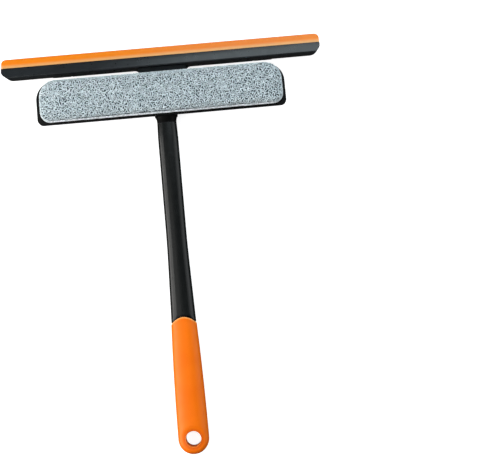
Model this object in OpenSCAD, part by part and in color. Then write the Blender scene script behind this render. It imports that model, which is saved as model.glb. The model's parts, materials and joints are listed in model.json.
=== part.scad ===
// Window squeegee with a rubber blade, a scrubbing pad and a soft grip.
// It lies on its back with the pad on top: +Y runs from the grip to the blade, +X along the blade.
// The origin is the centre of the footprint, on the surface that the squeegee rests on.

/* [Overall] */
// Length from the edge of the blade to the end of the grip
total_length = 340; // [300:1:400]
// Width across the blade and its holder
blade_width = 270; // [240:1:320]

/* [Blade] */
// Height of the rubber lip that stands out of the holder
lip_height = 8.4; // [7:0.1:12]
// Thickness of the lip at its wiping edge
lip_edge_thickness = 1.4; // [1:0.1:2]
// Thickness of the lip where it leaves the foot
lip_root_thickness = 2.6; // [2:0.1:3]
// Radius of the rounded upper corners of the lip
lip_corner_radius = 4; // [2:0.5:5]
// Height of the blade's middle plane above the rest surface
blade_plane_z = 10.6; // [10.6:0.1:11]

/* [Holder] */
// Height of the holder, from its mouth to its lower edge
holder_height = 9.3; // [9:0.1:11]
// Radius of the holder's lower corners
holder_corner_radius = 7.5; // [5:0.5:8.5]
// Height of the front ridge above the rest surface
holder_ridge_z = 17; // [16:0.5:18]

/* [Head] */
// Width of the rail behind the holder
rail_width = 188; // [160:1:200]
// Thickness of the rail
rail_thickness = 3.6; // [3.6:0.1:4]
// Width of the bridge between the rail and the pad plate
bridge_width = 40; // [30:1:50]
// Gap of the two slots beside the bridge, from the rail to the pad plate
slot_gap = 7.2; // [6:0.1:9]
// Width of the pad plate
plate_width = 208.6; // [190:0.1:225]
// Height of the pad plate
plate_height = 37; // [36:0.1:42]
// Thickness of the pad plate
plate_thickness = 3; // [2.5:0.1:4]
// Sideways shift of the pad plate from the handle's axis
plate_shift = -2.4; // [-3:0.1:3]
// Radius of the plate's corners beside the blade
plate_upper_radius = 16; // [12:0.5:17]
// Radius of the plate's corners beside the handle
plate_lower_radius = 4.8; // [4:0.1:8]

/* [Pad] */
// Height of the pad's face above the plate
pad_thickness = 8.5; // [8:0.5:14]
// Plate left bare at the left end of the pad
pad_margin_left = 3.1; // [1:0.1:4]
// Plate left bare at the right end of the pad
pad_margin_right = 2.4; // [1:0.1:4]
// Plate left bare below the pad
pad_margin_lower = 1.3; // [1:0.1:4]
// Radius of the pad's corners beside the blade
pad_upper_radius = 14.5; // [11:0.5:15]
// Radius of the pad's corners beside the handle
pad_lower_radius = 8.5; // [7:0.5:10]

/* [Handle] */
// Width of the shaft below the neck
shaft_width = 17; // [16:0.1:18]
// Thickness of the shaft below the neck
shaft_thickness = 13; // [12:0.5:13.5]
// Distance from the blade's edge at which the shaft starts to widen
flare_start = 156; // [140:1:170]
// Width of the shaft where it meets the grip
shaft_width_at_grip = 20.5; // [18:0.1:20.5]
// Length of the grip
grip_length = 110.8; // [90:0.1:120]
// Width of the grip at its upper edge
grip_upper_width = 21; // [20.9:0.1:23]
// Largest width of the grip
grip_width = 25.1; // [24:0.1:28]
// Largest thickness of the grip
grip_thickness = 16; // [15.5:0.5:16]
// How far the sides of the grip's arched upper edge fall below its middle
grip_arch = 5.2; // [4:0.1:8]
// Distance of the hanging hole from the end of the grip
hole_from_end = 12.7; // [12.7:0.1:16]
// Diameter of the hanging hole
hole_diameter = 12.4; // [10:0.1:13]

/* [Hidden] */
$fn = 64;

eps = 0.01;
overshoot = 1;

// Blade and holder
edge_y = total_length / 2;
mouth_y = edge_y - lip_height;
holder_low_y = mouth_y - holder_height;
bead_radius = 2.2;
bead_depth = 4.6;
bead_y = mouth_y - bead_depth;
web_thickness = 3;
channel_clearance = 0.1;
root_inset = 4;
root_length = blade_width - 2 * root_inset;
mouth_gap = 0.05;
mouth_lip = 3.4;
ridge_bevel = 0.8;
foot_thickness = 4.2;
foot_height = 1.6;
foot_corner_radius = 0.5;
root_overlap = 0.5;
holder_end_draft = 1;

// Rail and bridge
holder_draft = 1;
holder_back_y = holder_low_y + holder_draft;
rail_inset = 0.6;
rail_low_y = holder_back_y + rail_inset;
rail_setback = 1.8;
rail_top_y = mouth_y - rail_setback;
bridge_fillet = 4;
plate_top_y = rail_low_y - slot_gap;
plate_low_y = plate_top_y - plate_height;

// Plate and rear shell
axis_z = 8;
plate_z = 13;
plate_front_z = plate_z + plate_thickness;
shell_z = 5;
shell_inset = 2.4;
shell_wall = 2;
socket_block_width = 24;
socket_inset = 3.4;
plate_boss_depth = 3;
plate_boss_clearance = 0.4;

// Pad
hook_thickness = 0.8;
backing_thickness = 0.8;
binding_width = 1.5;
binding_thickness = 2.4;
cover_wall = 1.2;
pad_low_y = plate_low_y + pad_margin_lower;
pad_height = plate_top_y - pad_low_y;
pad_width = plate_width - pad_margin_left - pad_margin_right;
pad_x = plate_shift + (pad_margin_left - pad_margin_right) / 2;
pad_z = plate_front_z + hook_thickness;
pad_top_z = plate_front_z + pad_thickness;
hook_strip_height = 10;
hook_strip_radius = 1.5;
upper_strip_margin = 18;
upper_strip_width = plate_width - 2 * upper_strip_margin;
lower_strip_margin = 15;
lower_strip_width = plate_width - 2 * lower_strip_margin;
strip_edge_gap = 4;
upper_strip_y = plate_top_y - strip_edge_gap - hook_strip_height;
lower_strip_y = pad_low_y + strip_edge_gap;

// Neck and spigot
neck_length = 5.8;
neck_flare = 1.5;
neck_rise = 1.5;
neck_y = plate_low_y - neck_length;
neck_width = shaft_width - 0.7;
neck_thickness = shaft_thickness - 0.4;
neck_taper = 12;
spigot_width = 12.4;
spigot_thickness = 8.6;
spigot_length = 32;
spigot_clearance = 0.1;
spigot_overlap = 1;
spigot_end_gap = 0.5;

// Grip
grip_end_y = -edge_y;
grip_top_y = grip_end_y + grip_length;
hole_y = grip_end_y + hole_from_end;
flare_y = edge_y - flare_start;
flare_stretch = 1.5;
grip_upper_thickness = 15.2;
shaft_thickness_at_grip = grip_upper_thickness - 1;
core_inset = 2.4;
hollow_lead = 20;
liner_thickness = 1.6;
dish_radius = 10.8;
dish_depth = 1.8;

// Oval sections are superellipses of this exponent
oval_power = 2.3;
oval_sides = 40;
oval_angles = [for (i = [0 : oval_sides - 1]) i * 360 / oval_sides];

// Screws
screw_radius = 1.5;
pilot_radius = 1.55;
screw_head_radius = 2.8;
screw_head_height = 1.8;
head_clearance = 0.2;
holder_screw_spacing = 78;
holder_screw_x = [-holder_screw_spacing, 0, holder_screw_spacing];
holder_screw_y = (rail_low_y + rail_top_y) / 2;
holder_screw_length = 7.2;
outer_screw_x = 91;
outer_screw_rises = [9, 25];
inner_screw_x = 44;
inner_screw_rise = 18.6;
frame_screw_places = [
    for (side = [-1, 1])
        each [
            for (rise = outer_screw_rises) [plate_shift + side * outer_screw_x, plate_low_y + rise],
            [plate_shift + side * inner_screw_x, plate_low_y + inner_screw_rise]
        ]
];
frame_screw_z = 5.4;
frame_screw_length = 9.4;
boss_radius = 4.2;
shaft_screw_rise = 18;
shaft_screw_y = plate_low_y + shaft_screw_rise;
shaft_screw_z = 0.4;
shaft_screw_length = 10.5;

// One signed superellipse coordinate
function oval_part(value) = sign(value) * pow(abs(value), 2 / oval_power);

// A ring of the handle: place along Y, half width, half thickness, and fall of the arch at its sides
function oval_ring(station) = [
    for (angle = oval_angles)
        let (across = oval_part(cos(angle)), up = oval_part(sin(angle)))
            [station[1] * across, station[0] - station[3] * across * across, axis_z + station[2] * up]
];

// Smooth step from 0 to 1
function ease(t) = let (u = min(1, max(0, t))) u * u * (3 - 2 * u);

// Closed solid through a list of stations that run down the handle
module oval_sweep(stations) {
    rings = len(stations);
    last = rings * oval_sides;
    points = concat(
        [for (station = stations) each oval_ring(station)],
        [[0, stations[0][0], axis_z], [0, stations[rings - 1][0], axis_z]]
    );
    sides = [
        for (ring = [0 : rings - 2])
            for (i = [0 : oval_sides - 1])
                let (
                    j = (i + 1) % oval_sides,
                    a = ring * oval_sides + i,
                    b = ring * oval_sides + j,
                    c = a + oval_sides,
                    d = b + oval_sides
                )
                    each [[a, c, b], [b, c, d]]
    ];
    upper_cap = [for (i = [0 : oval_sides - 1]) [last, i, (i + 1) % oval_sides]];
    lower_cap = [
        for (i = [0 : oval_sides - 1])
            [last + 1, last - oval_sides + (i + 1) % oval_sides, last - oval_sides + i]
    ];
    polyhedron(points, concat(sides, upper_cap, lower_cap), convexity = 4);
}

// Half width and half thickness of the shaft and of the grip at a place along Y
function shaft_part(y) =
    ease((flare_y - y) / (flare_stretch * (flare_y - grip_top_y))) / ease(1 / flare_stretch);
function shaft_half_width(y) = (shaft_width + (shaft_width_at_grip - shaft_width) * shaft_part(y)) / 2;
function shaft_half_depth(y) =
    (shaft_thickness + (shaft_thickness_at_grip - shaft_thickness) * shaft_part(y)) / 2;
function grip_part(y) = sin(90 * min(1, max(0, (grip_top_y - y) / (grip_top_y - hole_y))));
function grip_half_width(y) = (grip_upper_width + (grip_width - grip_upper_width) * grip_part(y)) / 2;
function grip_half_depth(y) =
    (grip_upper_thickness + (grip_thickness - grip_upper_thickness) * grip_part(y)) / 2;

// Stations down the straight part of the grip, and round its end
grip_body_steps = 9;
grip_end_steps = 10;
grip_end_angle = 88;
function grip_body_stations(inset) = [
    for (i = [0 : grip_body_steps])
        let (y = grip_top_y + (hole_y - grip_top_y) * i / grip_body_steps)
            [y, grip_half_width(y) - inset, grip_half_depth(y) - inset, i == 0 ? grip_arch : 0]
];
function grip_end_stations(inset) = [
    for (i = [1 : grip_end_steps])
        let (angle = grip_end_angle * i / grip_end_steps, reach = sin(angle))
            [
                hole_y - (hole_from_end - inset) * reach,
                (grip_half_width(hole_y) - inset) * cos(angle),
                (grip_half_depth(hole_y) - inset) * cos(angle) * sqrt(1 + reach * reach),
                0
            ]
];

// Outline with its own radius for the lower and the upper corners, standing on Y = 0
module rounded_outline(width, height, lower_radius, upper_radius) {
    translate([-width / 2, lower_radius])
        square([width, height - lower_radius - upper_radius]);
    translate([-width / 2 + lower_radius, 0])
        square([width - 2 * lower_radius, height / 2]);
    translate([-width / 2 + upper_radius, height / 2])
        square([width - 2 * upper_radius, height / 2]);
    for (side = [-1, 1]) {
        translate([side * (width / 2 - lower_radius), lower_radius])
            circle(lower_radius);
        translate([side * (width / 2 - upper_radius), height - upper_radius])
            circle(upper_radius);
    }
}

// Block of the holder, which narrows towards its back and has rounded lower corners
module holder_block() {
    radius = holder_corner_radius;
    depth = holder_ridge_z - rail_thickness;
    narrowing = [1 - 2 * holder_end_draft / blade_width, 1 - holder_draft / holder_height];
    translate([0, mouth_y, holder_ridge_z])
        mirror([0, 0, 1])
            linear_extrude(depth, scale = narrowing, slices = 1)
                translate([0, -holder_height]) {
                    translate([-blade_width / 2, radius])
                        square([blade_width, holder_height - radius]);
                    translate([-blade_width / 2 + radius, 0])
                        square([blade_width - 2 * radius, radius + eps]);
                    for (side = [-1, 1])
                        translate([side * (blade_width / 2 - radius), radius])
                            circle(radius);
                }
}

// Plate outline, drawn in from its edge by inset
module plate_outline(inset) {
    translate([plate_shift, plate_low_y + inset])
        rounded_outline(
            plate_width - 2 * inset, plate_height - 2 * inset,
            plate_lower_radius - inset, plate_upper_radius - inset
        );
}

// Pad outline, drawn in from its edge by inset
module pad_outline(inset) {
    translate([pad_x, pad_low_y + inset])
        rounded_outline(
            pad_width - 2 * inset, pad_height - 2 * inset,
            pad_lower_radius - inset, pad_upper_radius - inset
        );
}

// Profile drawn in Y and Z, extruded along X
module along_blade(length) {
    rotate([90, 0, 90])
        linear_extrude(length, center = true)
            children();
}

// Round-headed screw that points along +Z, with a cross recess in its head
module screw(length) {
    recess_width = 0.7;
    recess_length = 3;
    recess_depth = 0.9;
    difference() {
        union() {
            cylinder(h = screw_head_height, r = screw_head_radius);
            cylinder(h = length, r = screw_radius);
        }
        for (size = [[recess_length, recess_width], [recess_width, recess_length]])
            translate([-size[0] / 2, -size[1] / 2, -eps])
                cube([size[0], size[1], recess_depth + eps]);
    }
}

// Hole for a screw: a recess for the head from below the face, then the shank
module screw_hole(length, face_depth) {
    translate([0, 0, -face_depth - eps])
        cylinder(h = face_depth + screw_head_height + eps, r = screw_head_radius + head_clearance);
    cylinder(h = length + head_clearance, r = pilot_radius);
}

module squeegee_blade() color("#f58220") {
    // Lip and foot, with rounded upper corners
    intersection() {
        along_blade(blade_width)
            polygon([
                [mouth_y, blade_plane_z - foot_thickness / 2],
                [mouth_y + foot_height, blade_plane_z - lip_root_thickness / 2],
                [edge_y, blade_plane_z - lip_edge_thickness / 2],
                [edge_y, blade_plane_z + lip_edge_thickness / 2],
                [mouth_y + foot_height, blade_plane_z + lip_root_thickness / 2],
                [mouth_y, blade_plane_z + foot_thickness / 2]
            ]);
        translate([0, mouth_y, 0])
            linear_extrude(2 * blade_plane_z)
                rounded_outline(blade_width, lip_height, foot_corner_radius, lip_corner_radius);
    }
    // Root that the channel holds
    along_blade(root_length)
        union() {
            translate([bead_y, blade_plane_z])
                circle(bead_radius);
            translate([bead_y, blade_plane_z - web_thickness / 2])
                square([mouth_y - bead_y + root_overlap, web_thickness]);
        }
}

module blade_holder() color("#3a4046")
    difference() {
        intersection() {
            along_blade(blade_width)
                polygon([
                    [mouth_y - mouth_gap, rail_thickness],
                    [mouth_y - mouth_gap, blade_plane_z + mouth_lip],
                    [holder_low_y + ridge_bevel, holder_ridge_z],
                    [holder_low_y, holder_ridge_z - ridge_bevel],
                    [holder_back_y, rail_thickness]
                ]);
            holder_block();
        }
        along_blade(blade_width + 2 * overshoot)
            union() {
                translate([bead_y, blade_plane_z])
                    circle(bead_radius + channel_clearance);
                translate([bead_y, blade_plane_z - web_thickness / 2 - channel_clearance])
                    square([mouth_y - bead_y + overshoot, web_thickness + 2 * channel_clearance]);
            }
        for (x = holder_screw_x)
            translate([x, holder_screw_y, 0])
                cylinder(h = holder_screw_length + 2 * head_clearance, r = pilot_radius);
    }

// Neck collar that flares from the shaft to the plate's edge
module neck_collar() {
    steps = 7;
    oval_sweep(concat(
        [[
            plate_low_y + shell_inset + shell_wall,
            neck_width / 2 + neck_flare,
            neck_thickness / 2 + neck_rise,
            0
        ]],
        [
            for (i = [0 : steps])
                let (angle = 90 - 90 * i / steps, grow = 1 - cos(angle))
                    [
                        neck_y + neck_length * sin(angle),
                        neck_width / 2 + neck_flare * grow,
                        neck_thickness / 2 + neck_rise * grow,
                        0
                    ]
        ]
    ));
}

// Outline of the bridge, from the shell up to a place along Y
module bridge_outline(upper_y) {
    foot_y = plate_top_y - shell_inset - shell_wall;
    translate([-bridge_width / 2, foot_y])
        square([bridge_width, upper_y - foot_y]);
}

// Outline of the fillets between the bridge and the rail
module bridge_fillets() {
    for (side = [-1, 1])
        difference() {
            translate([side * (bridge_width + bridge_fillet) / 2, rail_low_y - bridge_fillet / 2])
                square(bridge_fillet, center = true);
            translate([side * (bridge_width / 2 + bridge_fillet), rail_low_y - bridge_fillet])
                circle(bridge_fillet);
        }
}

module head_frame() color("#1d1e20")
    difference() {
        union() {
            // Rail behind the holder
            translate([-rail_width / 2, rail_low_y, 0])
                cube([rail_width, rail_top_y - rail_low_y, rail_thickness]);
            // Bridge from the rail to the shell, and its taller part below the holder
            linear_extrude(rail_thickness)
                union() {
                    bridge_outline(rail_low_y);
                    bridge_fillets();
                }
            linear_extrude(plate_z)
                bridge_outline(holder_low_y - mouth_gap);
            // Rear shell behind the pad plate
            translate([0, 0, shell_z])
                linear_extrude(plate_z - shell_z)
                    plate_outline(shell_inset);
            // Socket block, which the squeegee rests on
            translate([-socket_block_width / 2, plate_low_y + socket_inset, 0])
                cube([socket_block_width, plate_height - 2 * socket_inset, plate_z]);
            neck_collar();
        }
        // Seat of the pad plate above the collar
        translate([-socket_block_width, plate_low_y, plate_z])
            cube([2 * socket_block_width, 2 * socket_inset, plate_thickness + overshoot]);
        // Hollow of the shell on both sides of the socket block
        difference() {
            translate([0, 0, shell_z + shell_wall])
                linear_extrude(plate_z)
                    plate_outline(shell_inset + shell_wall);
            translate([-socket_block_width / 2, plate_low_y, 0])
                cube([socket_block_width, plate_height, 2 * plate_z]);
            for (place = frame_screw_places)
                translate([place[0], place[1], shell_z])
                    cylinder(h = plate_z, r = boss_radius);
        }
        // Bosses stop below the plate's own bosses
        for (place = frame_screw_places)
            translate([place[0], place[1], plate_z - plate_boss_depth])
                cylinder(h = plate_boss_depth + overshoot, r = boss_radius + eps);
        for (place = frame_screw_places)
            translate([place[0], place[1], frame_screw_z])
                screw_hole(frame_screw_length, frame_screw_z - shell_z);
        for (x = holder_screw_x)
            translate([x, holder_screw_y, head_clearance])
                screw_hole(holder_screw_length, head_clearance);
        translate([0, shaft_screw_y, shaft_screw_z])
            screw_hole(shaft_screw_length, shaft_screw_z);
        // Pocket for the shaft's spigot
        translate([
            -spigot_width / 2 - spigot_clearance,
            neck_y - spigot_overlap,
            axis_z - spigot_thickness / 2 - spigot_clearance
        ])
            cube([
                spigot_width + 2 * spigot_clearance,
                spigot_length + spigot_overlap + spigot_end_gap,
                spigot_thickness + 2 * spigot_clearance
            ]);
    }

module pad_plate() color("#18191b")
    difference() {
        union() {
            translate([0, 0, plate_z])
                linear_extrude(plate_thickness)
                    plate_outline(0);
            for (place = frame_screw_places)
                translate([place[0], place[1], plate_z - plate_boss_depth])
                    cylinder(h = plate_boss_depth + eps, r = boss_radius - plate_boss_clearance);
        }
        for (place = frame_screw_places)
            translate([place[0], place[1], frame_screw_z])
                cylinder(h = frame_screw_length + head_clearance, r = pilot_radius);
    }

module holder_screws() color("#b8bcc0")
    for (x = holder_screw_x)
        translate([x, holder_screw_y, head_clearance])
            screw(holder_screw_length);

module frame_screws() color("#b8bcc0")
    for (place = frame_screw_places)
        translate([place[0], place[1], frame_screw_z])
            screw(frame_screw_length);

module shaft_screw() color("#b8bcc0")
    translate([0, shaft_screw_y, shaft_screw_z])
        screw(shaft_screw_length);

// Strip of hooks glued to the plate
module hook_strip(width, low_y) {
    translate([plate_shift, low_y, plate_front_z])
        linear_extrude(hook_thickness)
            rounded_outline(width, hook_strip_height, hook_strip_radius, hook_strip_radius);
}

module hook_strip_upper() color("#2b2c2e")
    hook_strip(upper_strip_width, upper_strip_y);

module hook_strip_lower() color("#2b2c2e")
    hook_strip(lower_strip_width, lower_strip_y);

module pad_backing() color("#8d9499")
    translate([0, 0, pad_z])
        linear_extrude(backing_thickness)
            pad_outline(binding_width);

module pad_foam() color("#e8e4c8")
    translate([0, 0, pad_z + backing_thickness])
        linear_extrude(pad_top_z - cover_wall - pad_z - backing_thickness)
            pad_outline(binding_width + cover_wall);

module pad_cover() color("#b9c6cc")
    difference() {
        translate([0, 0, pad_z + backing_thickness])
            linear_extrude(pad_top_z - pad_z - backing_thickness)
                pad_outline(binding_width);
        translate([0, 0, pad_z])
            linear_extrude(pad_top_z - cover_wall - pad_z)
                pad_outline(binding_width + cover_wall);
    }

module pad_binding() color("#dfe5e8")
    translate([0, 0, pad_z])
        linear_extrude(binding_thickness)
            difference() {
                pad_outline(0);
                pad_outline(binding_width);
            }

module handle_shaft() color("#26282a")
    difference() {
        union() {
            shaft_steps = 12;
            oval_sweep(concat(
                [
                    [neck_y, neck_width / 2, neck_thickness / 2, 0],
                    [neck_y - neck_taper, shaft_width / 2, shaft_thickness / 2, 0]
                ],
                [
                    for (i = [0 : shaft_steps])
                        let (y = flare_y + (grip_top_y - flare_y) * i / shaft_steps)
                            [y, shaft_half_width(y), shaft_half_depth(y), i == shaft_steps ? grip_arch : 0]
                ],
                grip_body_stations(core_inset),
                grip_end_stations(core_inset)
            ));
            translate([-spigot_width / 2, neck_y - spigot_overlap, axis_z - spigot_thickness / 2])
                cube([spigot_width, spigot_length + spigot_overlap, spigot_thickness]);
        }
        translate([0, hole_y, 0])
            cylinder(h = 2 * axis_z, r = hole_diameter / 2 + liner_thickness);
        translate([0, shaft_screw_y, 0])
            cylinder(h = shaft_screw_z + shaft_screw_length + head_clearance, r = pilot_radius);
    }

module grip_sleeve() color("#f47b20")
    difference() {
        oval_sweep(concat(grip_body_stations(0), grip_end_stations(0)));
        difference() {
            oval_sweep(concat(
                [
                    [grip_top_y + hollow_lead, shaft_width_at_grip / 2, shaft_thickness_at_grip / 2, 0],
                    [grip_top_y, shaft_half_width(grip_top_y), shaft_half_depth(grip_top_y), grip_arch]
                ],
                grip_body_stations(core_inset),
                grip_end_stations(core_inset)
            ));
            translate([0, hole_y, -overshoot])
                cylinder(h = 2 * (axis_z + overshoot), r = hole_diameter / 2 + liner_thickness);
        }
        translate([0, hole_y, -overshoot])
            cylinder(h = 2 * (axis_z + overshoot), r = hole_diameter / 2);
        for (turn = [0, 180])
            translate([0, hole_y, axis_z])
                rotate([0, turn, 0])
                    translate([0, 0, grip_thickness / 2 - dish_depth])
                        cylinder(h = dish_depth + eps, r1 = hole_diameter / 2, r2 = dish_radius);
    }

squeegee_blade();
blade_holder();
head_frame();
pad_plate();
holder_screws();
frame_screws();
hook_strip_upper();
hook_strip_lower();
pad_backing();
pad_foam();
pad_cover();
pad_binding();
handle_shaft();
grip_sleeve();
shaft_screw();
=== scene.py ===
"""Looks of a window squeegee with a rubber blade, a looped scrubbing pad and a soft grip."""

import json
import math
import random

import bmesh
import bpy
from mathutils import Matrix, Vector, noise


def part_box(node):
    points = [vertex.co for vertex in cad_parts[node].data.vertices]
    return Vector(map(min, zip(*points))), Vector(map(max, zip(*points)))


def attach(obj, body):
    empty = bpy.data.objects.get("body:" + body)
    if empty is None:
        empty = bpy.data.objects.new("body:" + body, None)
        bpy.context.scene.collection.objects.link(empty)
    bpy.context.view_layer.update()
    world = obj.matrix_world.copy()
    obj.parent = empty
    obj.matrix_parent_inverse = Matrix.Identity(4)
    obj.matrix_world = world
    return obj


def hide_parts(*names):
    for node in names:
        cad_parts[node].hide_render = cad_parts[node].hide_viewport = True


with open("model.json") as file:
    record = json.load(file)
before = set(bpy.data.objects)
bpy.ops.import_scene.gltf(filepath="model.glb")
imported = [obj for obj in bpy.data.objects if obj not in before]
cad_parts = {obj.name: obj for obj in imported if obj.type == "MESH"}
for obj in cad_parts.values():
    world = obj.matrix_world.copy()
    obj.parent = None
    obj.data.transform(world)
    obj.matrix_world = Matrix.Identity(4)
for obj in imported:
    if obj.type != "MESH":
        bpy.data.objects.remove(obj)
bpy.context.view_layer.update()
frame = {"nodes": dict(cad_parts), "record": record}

MM = 0.001
SEED = 11

# An edge that turns by more than this many degrees is sharp
EDGE_DEGREES = 32

# ---------------------------------------------------------------- driving sizes, in millimetres
# Shaft and grip: superellipse sections, as in the CAD
SHAFT_POWER = 2.5
GRIP_POWER = 2.4
SPIGOT_POWER = 9
SHAFT_WIDTH, SHAFT_DEPTH = 17.0, 13.0
NECK_WIDTH, NECK_DEPTH, NECK_TAPER = 16.3, 12.6, 12.0
SHAFT_WIDTH_AT_GRIP, SHAFT_DEPTH_AT_GRIP = 20.5, 14.2
GRIP_UPPER_WIDTH, GRIP_UPPER_DEPTH = 21.0, 15.2

# The shaft widens from here down, and is cut off by the grip before the curve ends
FLARE_Y = 14.0
FLARE_STRETCH = 1.5

# Spacing of the rings down each part, and how far the core stands inside the grip's surface
SHAFT_RING_STEP, CORE_RING_STEP, GRIP_RING_STEP = 3.0, 6.0, 1.0
CORE_INSET = 2.4

# The seam between shaft and grip arches up, and its arch dies away over a length on either side
GRIP_ARCH = 5.2
ARCH_FADE_UP, ARCH_FADE_DOWN = 40, 30
SEAM_GROOVE = 0.9
SEAM_GROOVE_DEPTH = 0.7
SEAM_SINK = 0.8
GRIP_RIM_RADIUS = 0.5

# Hanging hole, in a shallow dish on either face, with a liner of sleeve through the core
DISH_RADIUS = 11.4
DISH_DEPTH = 1.1
DISH_BLEND = 4
HOLE_RIM_RADIUS = 0.9
LINER = 1.6

# Spigot in the head's socket: width, depth, length
SPIGOT = (12.4, 8.6, 32.0)
SPIGOT_CHAMFER = 0.6
SPIGOT_ROOT_GAP = 0.02

# Pad: width and height of its binding, its corners and the shares of the rings on its crown
BINDING = (1.5, 2.4)
PAD_LOWER_RADIUS, PAD_UPPER_RADIUS = 8.5, 14.5
CROWN_SHARES = (0.8, 0.6, 0.4, 0.2, 0.04)

# Cover: how far it stands inside the pad's edge, over its back and under the tips of the pile
COVER_INSET = 1.1
COVER_LIFT = 0.8
COVER_PILE_ROOM = 1.4
COVER_SHOULDER = 2.6
COVER_CROWN = 0.7

# Size of the cover's mesh, and the most that pressure swells it
COVER_MESH = 1.6
COVER_SWELL = 0.8

# Foam: how far it stands inside the binding, over the pad's back and under the cover's top
FOAM_INSET = 1.6
FOAM_LIFT = 0.9
FOAM_COVER_ROOM = 2.4
FOAM_SHOULDER = 2.4
FOAM_CROWN = 0.6

# Backing cloth: thickness, gap to the binding, and how far its edges are drawn in
BACKING_THICKNESS = 0.8
BACKING_GAP, BACKING_EDGE = 0.05, 0.3

# Pile: its height and thickness of yarn, and how closely and how low its loops stand
PILE_HEIGHT = 0.85
PILE_SPACING = 1.6
PILE_CROWDING = 0.8
PILE_YARN = 0.46
PILE_PASSES = 6
PILE_BELOW_BINDING = 0.9

# By how far the cover faces up: the least that bears pile, and below which the pile is taller
PILE_LEAST_SLOPE, EDGE_SLOPE = -0.1, 0.85
EDGE_PILE = 1.15

# Each loop's length, shares and sway lie between two limits
LOOP_LENGTH = (1.9, 3.0)
LOOP_HEIGHT_SHARE = (0.55, 1.15)
LOOP_YARN_SHARE = (0.85, 1.15)
LOOP_END_YARN = 0.7
LOOP_SWAY = (-0.55, 0.55)
LOOP_ROOT = 0.15
LOOP_POINTS = 5

# Hooks of the strips: pitch, half thickness, first place and the room left at the far ends
HOOK_PITCH, HOOK_STEM = 1.7, 0.22
HOOK_START, HOOK_SPARE = (1.4, 1.0), (2, 1)
HOOK_JITTER = (-0.15, 0.15)
HOOK_LEAN = (0.25, 0.45)


def box_mm(node):
    """Lowest and highest corner of a CAD node, in millimetres."""
    low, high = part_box(node)
    return low / MM, high / MM


# ---------------------------------------------------------------- places read from the frame
GRIP_LOW, GRIP_HIGH = box_mm("grip_sleeve")
NECK_Y = box_mm("head_frame")[0].y
HANG_HOLE = next(m for m in frame["record"]["mounts"] if m["name"] == "hang_hole")
AXIS_Z = (GRIP_LOW.z + GRIP_HIGH.z) / 2
GRIP_TOP_Y, GRIP_END_Y = GRIP_HIGH.y, GRIP_LOW.y
GRIP_WIDTH, GRIP_DEPTH = GRIP_HIGH.x - GRIP_LOW.x, GRIP_HIGH.z - GRIP_LOW.z
HOLE_Y = HANG_HOLE["pos_m"][1] / MM
HOLE_RADIUS = HANG_HOLE["dims"]["r_mm"]
SEAM_CURVE = GRIP_ARCH / (SHAFT_WIDTH_AT_GRIP / 2) ** 2


# ---------------------------------------------------------------- mesh helpers
def piece(name, verts, faces, material):
    """A mesh object from points in millimetres, with its faces turned outwards."""
    mesh = bpy.data.meshes.new(name)
    mesh.from_pydata([Vector(v) * MM for v in verts], [], faces)
    bm = bmesh.new()
    bm.from_mesh(mesh)
    bmesh.ops.recalc_face_normals(bm, faces=bm.faces)
    bm.to_mesh(mesh)
    bm.free()
    mesh.polygons.foreach_set("use_smooth", [True] * len(mesh.polygons))
    if material:
        mesh.materials.append(material)
    obj = bpy.data.objects.new(name, mesh)
    bpy.context.scene.collection.objects.link(obj)
    return obj


def loft(rings):
    """Points and faces of a closed solid through rings that have equally many points."""
    count = len(rings[0])
    verts = [point for ring in rings for point in ring]
    faces = [
        (r + i, r + (i + 1) % count, r + count + (i + 1) % count, r + count + i)
        for r in range(0, count * (len(rings) - 1), count)
        for i in range(count)
    ]
    faces.append(tuple(reversed(range(count))))
    faces.append(tuple(range(count * (len(rings) - 1), count * len(rings))))
    return verts, faces


def rounded_outline(low, high, lower_radius, upper_radius, inset, steps=10):
    """Plan outline, anticlockwise from the lower right corner, drawn in by inset."""
    corners = (
        (high[0] - lower_radius, low[1] + lower_radius, lower_radius, -90),
        (high[0] - upper_radius, high[1] - upper_radius, upper_radius, 0),
        (low[0] + upper_radius, high[1] - upper_radius, upper_radius, 90),
        (low[0] + lower_radius, low[1] + lower_radius, lower_radius, 180),
    )
    return [
        (
            x + (radius - inset) * math.cos(math.radians(start + 90 * k / steps)),
            y + (radius - inset) * math.sin(math.radians(start + 90 * k / steps)),
        )
        for x, y, radius, start in corners
        for k in range(steps + 1)
    ]


def spaced_outline(points, step):
    """The closed outline with points added along its straight sides, about a step apart."""
    out = []
    for a, b in zip(points, points[1:] + points[:1]):
        a, b = Vector(a), Vector(b)
        parts = max(1, round((b - a).length / step))
        out += [tuple(a.lerp(b, k / parts)) for k in range(parts)]
    return out


def oval_ring(y, half_width, half_depth, power, arch=0.0, sides=128):
    """A ring of the handle. Its sides fall by arch below its middle."""
    ring = []
    for k in range(sides):
        angle = 2 * math.pi * k / sides
        across = math.copysign(abs(math.cos(angle)) ** (2 / power), math.cos(angle))
        up = math.copysign(abs(math.sin(angle)) ** (2 / power), math.sin(angle))
        ring.append((half_width * across, y - arch * across * across, AXIS_Z + half_depth * up))
    return ring


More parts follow.
